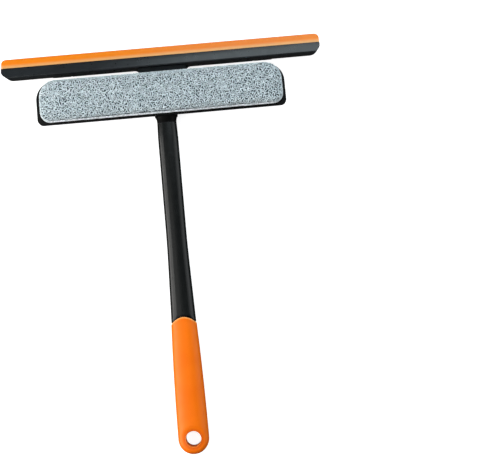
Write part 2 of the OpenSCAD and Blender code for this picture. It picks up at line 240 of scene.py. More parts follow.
def smooth_by_angle(obj, degrees=EDGE_DEGREES):
    """Smooth shading, with edges sharper than this angle kept crisp."""
    name = f"smooth_by_angle_{degrees}"
    group = bpy.data.node_groups.get(name)
    if group is None:
        group = bpy.data.node_groups.new(name, "GeometryNodeTree")
        group.interface.new_socket("Geometry", in_out="INPUT", socket_type="NodeSocketGeometry")
        group.interface.new_socket("Geometry", in_out="OUTPUT", socket_type="NodeSocketGeometry")
        nodes, links = group.nodes, group.links
        angle = nodes.new("GeometryNodeInputMeshEdgeAngle")
        sharp = nodes.new("FunctionNodeCompare")
        sharp.operation = "GREATER_THAN"
        sharp.inputs[1].default_value = math.radians(degrees)
        faces, edges = (nodes.new("GeometryNodeSetShadeSmooth") for _ in range(2))
        faces.domain, edges.domain = "FACE", "EDGE"
        faces.inputs["Shade Smooth"].default_value = True
        edges.inputs["Shade Smooth"].default_value = False
        start, end = nodes.new("NodeGroupInput"), nodes.new("NodeGroupOutput")
        links.new(angle.outputs["Unsigned Angle"], sharp.inputs[0])
        links.new(start.outputs[0], faces.inputs["Geometry"])
        links.new(faces.outputs[0], edges.inputs["Geometry"])
        links.new(sharp.outputs[0], edges.inputs["Selection"])
        links.new(edges.outputs[0], end.inputs[0])
    obj.modifiers.new("smooth", "NODES").node_group = group


def apply_modifiers(obj):
    """The object's mesh becomes what its modifiers make of it."""
    bpy.context.view_layer.update()
    result = obj.evaluated_get(bpy.context.evaluated_depsgraph_get())
    mesh = bpy.data.meshes.new_from_object(result)
    obj.modifiers.clear()
    obj.data = mesh


def cut(obj, cutter):
    """Takes the cutter's volume out of the object, and deletes the cutter."""
    boolean = obj.modifiers.new("cut", "BOOLEAN")
    boolean.operation, boolean.solver, boolean.object = "DIFFERENCE", "EXACT", cutter
    apply_modifiers(obj)
    bpy.data.objects.remove(cutter)


def soften(node, width, material):
    """A CAD node keeps its shape, gets a finish and has its sharp edges rounded by the width."""
    obj = frame["nodes"][node]
    weld = obj.modifiers.new("weld", "WELD")
    weld.merge_threshold = 0.001 * MM
    flat = obj.modifiers.new("flat", "DECIMATE")
    flat.decimate_type, flat.angle_limit = "DISSOLVE", math.radians(0.5)
    bevel = obj.modifiers.new("bevel", "BEVEL")
    bevel.width, bevel.segments = width * MM, 3
    bevel.limit_method, bevel.angle_limit = "ANGLE", math.radians(EDGE_DEGREES)
    bevel.use_clamp_overlap = True
    smooth_by_angle(obj)
    obj.data.materials.clear()
    obj.data.materials.append(material)
    return obj


def place(obj, body, slot, *nodes):
    """The piece rides on its body and stands for the nodes, which are hidden. The slot is not
    used.
    """
    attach(obj, body)
    if nodes:
        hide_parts(*nodes)
    return obj


# ---------------------------------------------------------------- materials
def linear(rgb):
    """Linear colour of an 8-bit display colour."""
    return tuple(
        c / 255 / 12.92 if c <= 10 else ((c / 255 + 0.055) / 1.055) ** 2.4 for c in rgb
    ) + (1.0,)


class Surface:
    """A material whose colour, roughness and relief come from noise in object coordinates."""

    def __init__(self, name, **sockets):
        self.material = bpy.data.materials.new(name)
        self.material.use_nodes = True
        self.nodes, self.links = self.material.node_tree.nodes, self.material.node_tree.links
        self.shader = self.nodes["Principled BSDF"]
        self.place = self.nodes.new("ShaderNodeTexCoord").outputs["Object"]
        for socket, value in sockets.items():
            self.shader.inputs[socket.replace("_", " ")].default_value = value

    def stretched(self, x=1.0, y=1.0, z=1.0):
        """Object coordinates, scaled apart along each axis."""
        mapping = self.nodes.new("ShaderNodeMapping")
        mapping.inputs["Scale"].default_value = (x, y, z)
        self.links.new(self.place, mapping.inputs["Vector"])
        return mapping.outputs["Vector"]

    def noise(self, size, detail=3.0, where=None):
        """Noise with features about this many millimetres wide."""
        node = self.nodes.new("ShaderNodeTexNoise")
        node.inputs["Scale"].default_value = 1 / (size * MM)
        node.inputs["Detail"].default_value = detail
        self.links.new(where or self.place, node.inputs["Vector"])
        return node.outputs["Fac"]

    def cells(self, size, where=None):
        """Cells about this many millimetres wide, by distance from their middles."""
        node = self.nodes.new("ShaderNodeTexVoronoi")
        node.inputs["Scale"].default_value = 1 / (size * MM)
        self.links.new(where or self.place, node.inputs["Vector"])
        return node.outputs["Distance"]

    def along(self, axis, start, end):
        """Rises from 0 to 1 between two places on an axis, in millimetres."""
        split = self.nodes.new("ShaderNodeSeparateXYZ")
        self.links.new(self.place, split.inputs[0])
        return self.ranged(split.outputs[axis], 0, 1, start * MM, end * MM)

    def ranged(self, value, low, high, start=0.3, end=0.7):
        """The value's stretch from start to end, spread from low to high."""
        node = self.nodes.new("ShaderNodeMapRange")
        node.interpolation_type = "SMOOTHSTEP"
        limits = {"From Min": start, "From Max": end, "To Min": low, "To Max": high}
        for socket, number in limits.items():
            node.inputs[socket].default_value = number
        self.links.new(value, node.inputs["Value"])
        return node.outputs["Result"]

    def math(self, operation, *values):
        """A sum, product or other function of outputs and numbers."""
        node = self.nodes.new("ShaderNodeMath")
        node.operation = operation
        for socket, value in zip(node.inputs, values):
            if isinstance(value, (int, float)):
                socket.default_value = value
            else:
                self.links.new(value, socket)
        return node.outputs[0]

    def axes(self):
        """The X and Y outputs of the object coordinates."""
        split = self.nodes.new("ShaderNodeSeparateXYZ")
        self.links.new(self.place, split.inputs[0])
        return split.outputs["X"], split.outputs["Y"]

    def above_seam(self):
        """Metres above the arched seam between the shaft and the grip."""
        x, y = self.axes()
        fall = self.math("MULTIPLY", self.math("MULTIPLY", x, x), SEAM_CURVE / MM)
        return self.math("SUBTRACT", self.math("ADD", y, fall), GRIP_TOP_Y * MM)

    def mixed(self, factor, a, b):
        """Colour between a and b, which are 8-bit display colours or outputs."""
        node = self.nodes.new("ShaderNodeMix")
        node.data_type = "RGBA"
        self.links.new(factor, node.inputs["Factor"])
        for socket, colour in ((node.inputs[6], a), (node.inputs[7], b)):
            if isinstance(colour, tuple):
                socket.default_value = linear(colour)
            else:
                self.links.new(colour, socket)
        return node.outputs[2]

    def finish(self, colour, roughness, *reliefs):
        """Joins up the shader. Each relief is a height and its depth in millimetres."""
        self.links.new(colour, self.shader.inputs["Base Color"])
        self.links.new(roughness, self.shader.inputs["Roughness"])
        normal = None
        for height, depth in reliefs:
            bump = self.nodes.new("ShaderNodeBump")
            bump.inputs["Distance"].default_value = depth * MM
            self.links.new(height, bump.inputs["Height"])
            if normal:
                self.links.new(normal, bump.inputs["Normal"])
            normal = bump.outputs["Normal"]
        if normal:
            self.links.new(normal, self.shader.inputs["Normal"])
        return self.material


def moulded(name, dark, light, rough, grain=0.35, grain_depth=0.012, shade=None, **sockets):
    """Moulded plastic: faint flow marks, a fine even grain, a few handling rubs and painted shade
    where a mask is given.
    """
    rub_lightening = 18
    s = Surface(name, **sockets)
    flow = s.noise(38, 4, s.stretched(1, 0.35, 1))
    rubs = s.ranged(s.noise(1.1, 5, s.stretched(3, 0.12, 1)), 0, 1, 0.62, 0.78)
    colour = s.mixed(s.ranged(flow, 0, 1), dark, light)
    rubbed = s.math("MULTIPLY", rubs, s.ranged(s.noise(15, 2), 0, 0.3))
    colour = s.mixed(rubbed, colour, tuple(c + rub_lightening for c in light))
    # Painted shade: where the shade mask rises, the colour goes to near black
    if shade:
        colour = s.mixed(shade(s), colour, (3, 3, 3))
    roughness = s.ranged(s.noise(6, 4), rough[0], rough[1])
    return s.finish(
        colour, roughness, (s.noise(grain, 2), grain_depth), (s.noise(4, 2), grain_depth * 1.5)
    )


def make_materials():
    """Every finish, by the record's slot name."""
    made = {}

    # Moulded rubber: faint streaks along the blade, a fine bloom, a painted highlight along the
    # foot by the holder, a darker band along the edge and a shaded line where the blade enters the
    # holder
    mouth = box_mm("blade_holder")[1].y
    edge = box_mm("squeegee_blade")[1].y
    s = Surface("orange_rubber", Specular_IOR_Level=0.34)
    streaks = s.noise(14, 4, s.stretched(0.12, 1.6, 1))
    body = s.mixed(s.ranged(streaks, 0, 1), (227, 118, 5), (233, 127, 9))
    bloom = s.ranged(s.noise(2.2, 5), 0, 0.25, 0.5, 0.8)
    body = s.mixed(bloom, body, (236, 144, 44))
    # Painted highlight: the foot by the holder is paler, as if lit
    foot_highlight = s.mixed(s.along("Y", mouth + 4.6, mouth + 1.0), body, (236, 172, 107))
    # Darker towards the blade's edge
    darker_edge = s.mixed(s.along("Y", edge - 0.9, edge + 0.1), foot_highlight, (212, 106, 20))
    deep = s.mixed(s.along("Y", mouth + 0.7, mouth + 0.1), darker_edge, (60, 26, 6))
    made["orange_rubber"] = s.finish(
        deep, s.ranged(s.noise(5, 4), 0.32, 0.46), (s.noise(0.5, 2), 0.012), (streaks, 0.04)
    )

    # Painted shadow: the holder darkens to near black towards the mouth where the blade enters it
    made["holder_plastic"] = moulded(
        "holder_plastic", (24, 27, 30), (30, 34, 37), (0.27, 0.35),
        shade=lambda s: s.along("Y", mouth - 0.75, mouth - 0.35), Specular_IOR_Level=0.5
    )
    collar = box_mm("pad_plate")[0].y
    # Painted shadow: the neck darkens to near black just below the plate's edge
    made["black_plastic"] = moulded(
        "black_plastic", (24, 28, 30), (31, 35, 37), (0.42, 0.6), 0.5, 0.03,
        shade=lambda s: s.along("Y", collar + 1, collar), Specular_IOR_Level=0.06
    )
    made["plate_plastic"] = moulded(
        "plate_plastic", (7, 8, 9), (12, 13, 14), (0.35, 0.5), Specular_IOR_Level=0.12
    )
    # Painted shade: the shaft darkens to near black just above the seam with the grip
    made["shaft_plastic"] = moulded(
        "shaft_plastic", (14, 16, 16), (19, 21, 21), (0.17, 0.25),
        shade=lambda s: s.ranged(s.above_seam(), 1, 0, 1.3 * MM, 2.6 * MM),
        Specular_IOR_Level=0.26
    )

    # Soft grip: satin rubber with a fine spark grain, a painted highlight on the rim, and a
    # painted shaded ring and painted light on the wall at the hole
    s = Surface("orange_grip", Specular_IOR_Level=0.2)
    tint = s.mixed(s.ranged(s.noise(22, 4), 0, 1), (238, 108, 2), (242, 114, 5))
    handled = s.ranged(s.noise(3.5, 5), 0, 0.2, 0.55, 0.8)
    tint = s.mixed(handled, tint, (240, 108, 10))
    # Painted highlight: the rounded rim at the seam is paler, as if lit
    rim_highlight = s.ranged(s.above_seam(), 0, 0.75, -1.6 * MM, -0.5 * MM)
    tint = s.mixed(rim_highlight, tint, (255, 178, 96))
    x, y = s.axes()
    along = s.math("SUBTRACT", y, HOLE_Y * MM)
    squares = s.math("ADD", s.math("MULTIPLY", x, x), s.math("MULTIPLY", along, along))
    away = s.math("SQRT", squares)
    ring = s.ranged(away, 0.75, 0, (HOLE_RADIUS + 0.9) * MM, (HOLE_RADIUS + 3.2) * MM)
    tint = s.mixed(ring, tint, (214, 88, 6))
    # Painted light: the hole's inner wall is paler, against its shadow
    painted_wall_light = s.ranged(away, 0.8, 0, (HOLE_RADIUS + 0.1) * MM, (HOLE_RADIUS + 0.6) * MM)
    tint = s.mixed(painted_wall_light, tint, (236, 138, 62))
    made["orange_grip"] = s.finish(
        tint, s.ranged(s.noise(7, 4), 0.34, 0.46),
        (s.noise(0.4, 2), 0.02), (s.noise(2.5, 2), 0.02)
    )

    # Bright steel, turned
    s = Surface("screw_steel", Metallic=1.0)
    made["screw_steel"] = s.finish(
        s.mixed(s.ranged(s.noise(1.2), 0, 1), (150, 153, 156), (190, 193, 196)),
        s.ranged(s.noise(0.4, 4, s.stretched(1, 6, 1)), 0.22, 0.45), (s.noise(0.25, 2), 0.01)
    )

    # Hook tape: woven nylon ground
    s = Surface("hook_nylon", Specular_IOR_Level=0.35)
    made["hook_nylon"] = s.finish(
        s.mixed(s.ranged(s.cells(0.55), 0, 1, 0.1, 0.6), (30, 31, 33), (50, 52, 55)),
        s.ranged(s.noise(0.8), 0.45, 0.7), (s.cells(0.55), 0.12)
    )

    # Loop cloth of the pad's back: brushed knit
    s = Surface("loop_cloth", Sheen_Weight=0.4, Specular_IOR_Level=0.2)
    knit = s.cells(0.9, s.stretched(1, 1.6, 1))
    made["loop_cloth"] = s.finish(
        s.mixed(s.ranged(knit, 0, 1, 0.1, 0.6), (150, 158, 163), (104, 111, 117)),
        s.ranged(s.noise(1.5), 0.8, 1.0), (knit, 0.2), (s.noise(0.3, 3), 0.08)
    )

    # Foam: open cells
    s = Surface("pad_foam", Subsurface_Weight=0.1, Specular_IOR_Level=0.2)
    cells = s.cells(0.8)
    made["pad_foam"] = s.finish(
        s.mixed(s.ranged(cells, 0, 1, 0.1, 0.7), (232, 226, 196), (206, 198, 164)),
        s.ranged(s.noise(2), 0.85, 1.0), (cells, 0.3)
    )

    # Looped yarn: pale blue-grey loops with white fibres over a darker ground, painted shade
    # between the loops
    for name, dark, light in (
        ("looped_pile", (175, 190, 196), (222, 233, 238)),
        # The ground's darker colour is painted shade between the loops
        ("pile_ground", (54, 62, 68), (82, 91, 96)),
    ):
        s = Surface(name, Sheen_Weight=0.25, Sheen_Roughness=0.5, Specular_IOR_Level=0.15)
        strands = s.noise(0.16, 3)
        shade = s.mixed(s.ranged(s.noise(2.0, 2), 0, 1, 0.36, 0.64), dark, light)
        shade = s.mixed(s.ranged(s.noise(0.7, 2), 0, 0.6, 0.62, 0.72), shade, (226, 232, 236))
        made[name] = s.finish(shade, s.ranged(strands, 0.8, 1.0), (strands, 0.06))

    # Binding: ribbed pale tape
    s = Surface("edge_binding", Sheen_Weight=0.3, Specular_IOR_Level=0.2)
    ribs = s.noise(0.45, 2)
    weave = s.mixed(s.ranged(s.noise(1.3, 2), 0, 1, 0.4, 0.6), (158, 167, 173), (232, 238, 243))
    made["edge_binding"] = s.finish(
        s.mixed(s.ranged(ribs, 0, 0.6), weave, (214, 221, 226)),
        s.ranged(s.noise(1.2), 0.75, 1.0), (ribs, 0.12)
    )

    # Paper of the floor and backdrop, which glows a little
    s = Surface(
        "floor_paper", Specular_IOR_Level=0.2, Emission_Color=(1, 1, 1, 1), Emission_Strength=0.85
    )
    made["floor"] = s.finish(
        s.mixed(s.ranged(s.noise(60, 3), 0, 1), (196, 196, 197), (202, 202, 202)),
        s.ranged(s.noise(3), 0.85, 1.0), (s.noise(1.5, 3), 0.02)
    )
    return made


# ---------------------------------------------------------------- handle
def ease(t):
    """Smooth step from 0 to 1."""
    t = min(1.0, max(0.0, t))
    return t * t * (3 - 2 * t)


def shaft_size(y):
    """Half width and half depth of the shaft."""
    fall = (FLARE_Y - y) / (FLARE_STRETCH * (FLARE_Y - GRIP_TOP_Y))
    flare = ease(fall) / ease(1 / FLARE_STRETCH)
    slim = max(0.0, 1 - (NECK_Y - y) / NECK_TAPER)
    return tuple(
        (size + (at_grip - size) * flare + (at_neck - size) * slim) / 2
        for size, at_grip, at_neck in (
            (SHAFT_WIDTH, SHAFT_WIDTH_AT_GRIP, NECK_WIDTH),
            (SHAFT_DEPTH, SHAFT_DEPTH_AT_GRIP, NECK_DEPTH),
        )
    )


def grip_size(y):
    """Half width and half depth of the grip."""
    part = math.sin(math.pi / 2 * min(1.0, max(0.0, (GRIP_TOP_Y - y) / (GRIP_TOP_Y - HOLE_Y))))
    return (
        (GRIP_UPPER_WIDTH + (GRIP_WIDTH - GRIP_UPPER_WIDTH) * part) / 2,
        (GRIP_UPPER_DEPTH + (GRIP_DEPTH - GRIP_UPPER_DEPTH) * part) / 2,
    )


def fading_arch(y):
    """The arch of the seam, which dies away down the grip."""
    return GRIP_ARCH * (1 - ease((GRIP_TOP_Y - y) / ARCH_FADE_DOWN))


def grip_rings(inset, step):
    """Rings down the grip and round its end, drawn in by inset."""
    end_degrees = 4
    rings = []
    count = round((GRIP_TOP_Y - HOLE_Y) / step)
    for k in range(count + 1):
        y = GRIP_TOP_Y + (HOLE_Y - GRIP_TOP_Y) * k / count
        half_width, half_depth = grip_size(y)
        rings.append(
            oval_ring(y, half_width - inset, half_depth - inset, GRIP_POWER, fading_arch(y))
        )
    half_width, half_depth = grip_size(HOLE_Y)
    for k in range(1, 90 // end_degrees + 1):
        angle = math.radians(end_degrees * k)
        reach = math.sin(angle)
        depth = (half_depth - inset) * math.cos(angle) * math.sqrt(1 + reach * reach)
        rings.append(
            oval_ring(
                HOLE_Y - (HOLE_Y - GRIP_END_Y - inset) * reach,
                (half_width - inset) * math.cos(angle), depth, GRIP_POWER,
            )
        )
    return rings


def lathe(name, profile, sides=96):
    """A cutter round the axis of the hanging hole, from radii and heights."""
    rings = [
        [
            (
                radius * math.cos(2 * math.pi * k / sides),
                HOLE_Y + radius * math.sin(2 * math.pi * k / sides),
                z,
            )
            for k in range(sides)
        ]
        for radius, z in profile
    ]
    return piece(name, *loft(rings), None)


def liner_cutter(name):
    """A cutter as wide as the sleeve's liner, right through the grip."""
    radius, overshoot = HOLE_RADIUS + LINER, 2
    return lathe(name, ((radius, -overshoot), (radius, 2 * AXIS_Z + overshoot)))


def seam_ring(above):
    """A ring that follows the bottom of the seam's groove, this far over the grip's rim."""
    half_width, half_depth = shaft_size(GRIP_TOP_Y)
    return oval_ring(
        GRIP_TOP_Y + above, half_width - SEAM_GROOVE_DEPTH, half_depth - SEAM_GROOVE_DEPTH,
        SHAFT_POWER, GRIP_ARCH,
    )


def make_shaft(material):
    """Shaft with its spigot, the groove at the seam and the core inside the grip."""
    half_spigot = (SPIGOT[0] / 2, SPIGOT[1] / 2)
    spigot_end = NECK_Y + SPIGOT[2]
    rings = [
        oval_ring(y, half_spigot[0] - inset, half_spigot[1] - inset, SPIGOT_POWER)
        for y, inset in (
            (spigot_end, SPIGOT_CHAMFER),
            (spigot_end - SPIGOT_CHAMFER, 0),
            (NECK_Y + SPIGOT_ROOT_GAP, 0),
        )
    ]
    shaft_end_room = 2
    y = NECK_Y
    while y > GRIP_TOP_Y + SEAM_GROOVE + shaft_end_room:
        arch = GRIP_ARCH * (1 - ease((y - GRIP_TOP_Y) / ARCH_FADE_UP))
        rings.append(oval_ring(y, *shaft_size(y), SHAFT_POWER, arch))
        y -= SHAFT_RING_STEP
    edge, edge_room = 0.15, 0.3
    for above, inset in (
        (SEAM_GROOVE + edge_room, 0),
        (SEAM_GROOVE, edge),
        (SEAM_GROOVE - edge, SEAM_GROOVE_DEPTH),
    ):
        half_width, half_depth = shaft_size(GRIP_TOP_Y + above)
        rings.append(
            oval_ring(
                GRIP_TOP_Y + above, half_width - inset, half_depth - inset,
                SHAFT_POWER, GRIP_ARCH,
            )
        )
    rings.append(seam_ring(-SEAM_SINK))
    rings += grip_rings(CORE_INSET, CORE_RING_STEP)[1:]
    shaft = piece("shaft", *loft(rings), material)
    cut(shaft, liner_cutter("liner_room"))
    smooth_by_angle(shaft)
    return place(shaft, "tool", "shaft_plastic", "handle_shaft")


def make_grip(material):
    """Soft sleeve over the shaft's core, with a round rim, a dished end and the hanging hole."""
    rings = []
    half_width, half_depth = grip_size(GRIP_TOP_Y)
    rim_steps = 5
    for k in range(rim_steps):
        angle = math.radians(90 * k / rim_steps)
        inset = GRIP_RIM_RADIUS * (1 - math.sin(angle))
        fall = GRIP_RIM_RADIUS * (1 - math.cos(angle))
        rings.append(
            oval_ring(
                GRIP_TOP_Y - fall, half_width - inset, half_depth - inset, GRIP_POWER, GRIP_ARCH
            )
        )
    rings += grip_rings(0, GRIP_RING_STEP)[1:]
    verts, faces = loft(rings)
    dished = []
    for x, y, z in verts:
        away = math.hypot(x, y - HOLE_Y)
        if away < DISH_RADIUS:
            sink = DISH_DEPTH * ease((DISH_RADIUS - away) / (DISH_RADIUS - HOLE_RADIUS))
            z -= math.copysign(sink * min(1.0, abs(z - AXIS_Z) / DISH_BLEND), z - AXIS_Z)
        dished.append((x, y, z))
    grip = piece("grip", dished, faces, material)

    hollow_lead = 12
    rings = [seam_ring(hollow_lead), seam_ring(-SEAM_SINK)]
    rings += grip_rings(CORE_INSET, CORE_RING_STEP)[1:]
    hollow = piece("hollow", *loft(rings), None)
    cut(hollow, liner_cutter("liner"))
    cut(grip, hollow)

    rim_z = GRIP_DEPTH / 2 - DISH_DEPTH
    rim_degrees, overshoot = 15, 3
    curve = [
        (
            HOLE_RADIUS + HOLE_RIM_RADIUS * (1 - math.cos(math.radians(rim_degrees * k))),
            rim_z - HOLE_RIM_RADIUS * (1 - math.sin(math.radians(rim_degrees * k))),
        )
        for k in range(90 // rim_degrees + 1)
    ]
    profile = [(curve[-1][0], AXIS_Z - rim_z - overshoot)]
    profile += [(radius, AXIS_Z - z) for radius, z in reversed(curve)]
    profile += [(radius, AXIS_Z + z) for radius, z in curve]
    profile += [(curve[-1][0], AXIS_Z + rim_z + overshoot)]
    cut(grip, lathe("hole", profile))
    smooth_by_angle(grip, degrees=40)
    return place(grip, "tool", "orange_grip", "grip_sleeve")


# ---------------------------------------------------------------- pad
PAD_LOW, PAD_HIGH = box_mm("pad_binding")
COVER_HIGH = box_mm("pad_cover")[1]


def pad_outline(inset, step):
    """The pad's outline, drawn in by inset, with points about a step apart."""
    points = rounded_outline(PAD_LOW, PAD_HIGH, PAD_LOWER_RADIUS, PAD_UPPER_RADIUS, inset)
    return spaced_outline(points, step)


def cushion_rings(side_inset, low_z, high_z, shoulder, crown, step=4.0):
    """Rings of a crowned pad: upright sides, a round shoulder and a top that rises inwards."""
    back_inset, edge_inset, side_rise, shoulder_steps = 3.0, 0.4, 0.5, 8
    rings = [
        [(x, y, low_z + rise) for x, y in pad_outline(side_inset + inset, step)]
        for inset, rise in ((back_inset, 0), (edge_inset, 0), (0, side_rise))
    ]
    for k in range(shoulder_steps + 1):
        angle = math.radians(90 * k / shoulder_steps)
        inset = side_inset + shoulder * (1 - math.cos(angle))
        z = high_z - crown - shoulder * (1 - math.sin(angle))
        rings.append([(x, y, z) for x, y in pad_outline(inset, step)])
    last = rings[-1]
    middle_y = (PAD_LOW.y + PAD_HIGH.y) / 2
    middle_x = (PAD_LOW.x + PAD_HIGH.x) / 2
    reach_x = (PAD_HIGH.x - PAD_LOW.x - PAD_HIGH.y + PAD_LOW.y) / 2
    for share in CROWN_SHARES:
        rise = crown * math.sqrt(1 - share * share)
        rings.append(
            [
                (
                    share * x
                    + (1 - share) * min(middle_x + reach_x, max(middle_x - reach_x, x)),
                    middle_y + share * (y - middle_y),
                    high_z - crown + rise,
                )
                for x, y, _ in last
            ]
        )
    return rings


def inflate(obj, voxel, most, floor_z):
    """Swells the pad by cloth pressure. No point moves past most, and the back stays flat."""
    pressure, mass, quality, steps = 4, 0.2, 8, 20
    back_band = 0.6
    remesh = obj.modifiers.new("remesh", "REMESH")
    remesh.mode, remesh.voxel_size = "VOXEL", voxel * MM
    apply_modifiers(obj)
    rest = [v.co.copy() for v in obj.data.vertices]
    cloth = obj.modifiers.new("cloth", "CLOTH")
    settings = cloth.settings
    settings.use_pressure, settings.uniform_pressure_force = True, pressure
    settings.effector_weights.gravity = 0
    settings.mass, settings.quality = mass, quality
    scene = bpy.context.scene
    for number in range(1, steps + 1):
        scene.frame_set(number)
    apply_modifiers(obj)
    scene.frame_set(1)
    for vertex, start in zip(obj.data.vertices, rest):
        move = vertex.co - start
        if move.length > most * MM:
            move.length = most * MM
        if start.z < (floor_z + back_band) * MM:
            move.z = 0
        vertex.co = start + move
    subdivide = obj.modifiers.new("subdivide", "SUBSURF")
    subdivide.levels = subdivide.render_levels = 1
    apply_modifiers(obj)
    obj.data.polygons.foreach_set("use_smooth", [True] * len(obj.data.polygons))


def make_cover(material):
    """The cover that the loops are knitted on."""
    back_z, top_z = PAD_LOW.z + COVER_LIFT, COVER_HIGH.z - COVER_PILE_ROOM
    rings = cushion_rings(COVER_INSET, back_z, top_z, COVER_SHOULDER, COVER_CROWN)
    cover = piece("pad_cover_cloth", *loft(rings), material)
    inflate(cover, COVER_MESH, COVER_SWELL, back_z)
    place(cover, "pad", "looped_pile", "pad_cover")
    return cover


def make_pile(cover, material):
    """Yarn loops that lie every way over the cover, each a bent tube that dives in at its ends."""
    dice = random.Random(SEED)
    mesh = cover.data
    mesh.calc_loop_triangles()
    cell = PILE_SPACING * MM
    taken = {}
    verts, faces = [], []
    triangles = list(mesh.loop_triangles)
    dice.shuffle(triangles)
    lowest = (PAD_LOW.z + BINDING[1] - PILE_BELOW_BINDING) * MM
    for _ in range(PILE_PASSES):
        for triangle in triangles:
            a, b, c = (mesh.vertices[i].co for i in triangle.vertices)
            u, v = sorted((dice.random(), dice.random()))
            spot = a * u + b * (v - u) + c * (1 - v)
            if spot.z < lowest or triangle.normal.z < PILE_LEAST_SLOPE:
                continue
            key = tuple(math.floor(q / cell) for q in spot)
            near = (
                other
                for dx in (-1, 0, 1) for dy in (-1, 0, 1) for dz in (-1, 0, 1)
                for other in taken.get((key[0] + dx, key[1] + dy, key[2] + dz), ())
            )
            if any((spot - other).length < cell * PILE_CROWDING for other in near):
                continue
            taken.setdefault(key, []).append(spot)
            add_loop(dice, spot, triangle.normal, verts, faces)
    pile = piece("pad_pile_loops", verts, faces, material)
    return place(pile, "pad", "looped_pile")


def square_tube(first, lengths):
    """Faces of a closed tube of four sides, whose points start at first."""
    faces = []
    for k in range(lengths):
        for q in range(4):
            a, b = first + 4 * k + q, first + 4 * k + (q + 1) % 4
            faces.append((a, b, b + 4, a + 4))
    faces.append(tuple(first + q for q in (3, 2, 1, 0)))
    faces.append(tuple(first + 4 * lengths + q for q in range(4)))
    return faces


def add_loop(dice, spot, normal, verts, faces):
    """One loop of yarn: a tube of four sides through a few points."""
    last = LOOP_POINTS - 1
    length = dice.uniform(*LOOP_LENGTH)
    edge = EDGE_PILE if normal.z < EDGE_SLOPE else 1.0
    height = PILE_HEIGHT * dice.uniform(*LOOP_HEIGHT_SHARE) * edge
    yarn = PILE_YARN * dice.uniform(*LOOP_YARN_SHARE)
    sway = dice.uniform(*LOOP_SWAY)
    turn = dice.uniform(0, math.pi)
    upright = Vector((0, 0, 1)) if abs(normal.z) < 0.9 else Vector((0, 1, 0))
    side = normal.cross(upright).normalized()
    run = side * math.cos(turn) + normal.cross(side) * math.sin(turn)
    cross = normal.cross(run)
    path = []
    for k in range(LOOP_POINTS):
        t = k / last
        path.append(
            spot / MM
            + run * (length * (t - 0.5))
            + cross * (sway * math.sin(2 * math.pi * t))
            + normal * (height * math.sin(math.pi * t) - LOOP_ROOT)
        )
    first = len(verts)
    for k, point in enumerate(path):
        ahead = (path[min(k + 1, last)] - path[max(k - 1, 0)]).normalized()
        out = cross if k in (0, last) else (cross - ahead * cross.dot(ahead)).normalized()
        up = ahead.cross(out).normalized()
        radius = yarn * (LOOP_END_YARN if k in (0, last) else 1.0)
        for q in range(4):
            angle = math.pi / 2 * q
            verts.append(point + (out * math.cos(angle) + up * math.sin(angle)) * radius)
    faces += square_tube(first, last)


def make_binding(material):
    """Tape folded round the pad's edge, a little wavy."""
    width, height = BINDING
    sides, squareness, step = 12, 0.6, 1.0
    wave_size, wave_scale = 0.16, 0.22
    pinch_size, pinch_scale = 0.10, 0.5
    centre = [Vector(p) for p in pad_outline(width / 2, step)]
    count = len(centre)
    rings = []
    for k, point in enumerate(centre):
        ahead = (centre[(k + 1) % count] - centre[k - 1]).normalized()
        out = Vector((ahead.y, -ahead.x))
        wave = wave_size * noise.noise(Vector((point.x, point.y, 0)) * wave_scale)
        pinch = 1 + pinch_size * noise.noise(Vector((point.x, point.y, 9)) * pinch_scale)
        ring = []
        for q in range(sides):
            angle = 2 * math.pi * q / sides
            along, over = math.cos(angle), math.sin(angle)
            across = math.copysign(abs(along) ** squareness, along) * width / 2
            up = math.copysign(abs(over) ** squareness, over) * height / 2
            spot = point + out * (across * pinch + wave)
            ring.append((spot.x, spot.y, PAD_LOW.z + height / 2 + up))
        rings.append(ring)
    verts = [p for ring in rings for p in ring]
    faces = []
    for k in range(count):
        here, there = sides * k, sides * ((k + 1) % count)
        for q in range(sides):
            beside = (q + 1) % sides
            faces.append((here + q, here + beside, there + beside, there + q))
    binding = piece("pad_edge_binding", verts, faces, material)
    return place(binding, "pad", "edge_binding", "pad_binding")


def make_foam(material):
    """Foam inside the cover."""
    rings = cushion_rings(
        BINDING[0] + FOAM_INSET, PAD_LOW.z + FOAM_LIFT, COVER_HIGH.z - FOAM_COVER_ROOM,
        FOAM_SHOULDER, FOAM_CROWN,
    )
    foam = piece("pad_foam_core", *loft(rings), material)
    place(foam, "pad", "pad_foam", "pad_foam")


def make_backing(material):
    """Loop cloth across the pad's back, which the hooks grip."""
    step, lower_edge, upper_edge = 3.0, 0.15, 0.1
    low, high = box_mm("pad_backing")
    top = low.z + BACKING_THICKNESS
    outline = pad_outline(BINDING[0] + BACKING_GAP, step)
    rings = [
        [(x, y, z) for x, y in pad_outline(BINDING[0] + inset, step)]
        for z, inset in (
            (low.z, BACKING_EDGE),
            (low.z + lower_edge, BACKING_GAP),
            (top - upper_edge, BACKING_GAP),
            (top, BACKING_EDGE),
        )
    ]
    backing = piece("pad_backing_cloth", *loft(rings), material)
    place(backing, "pad", "loop_cloth", "pad_backing")


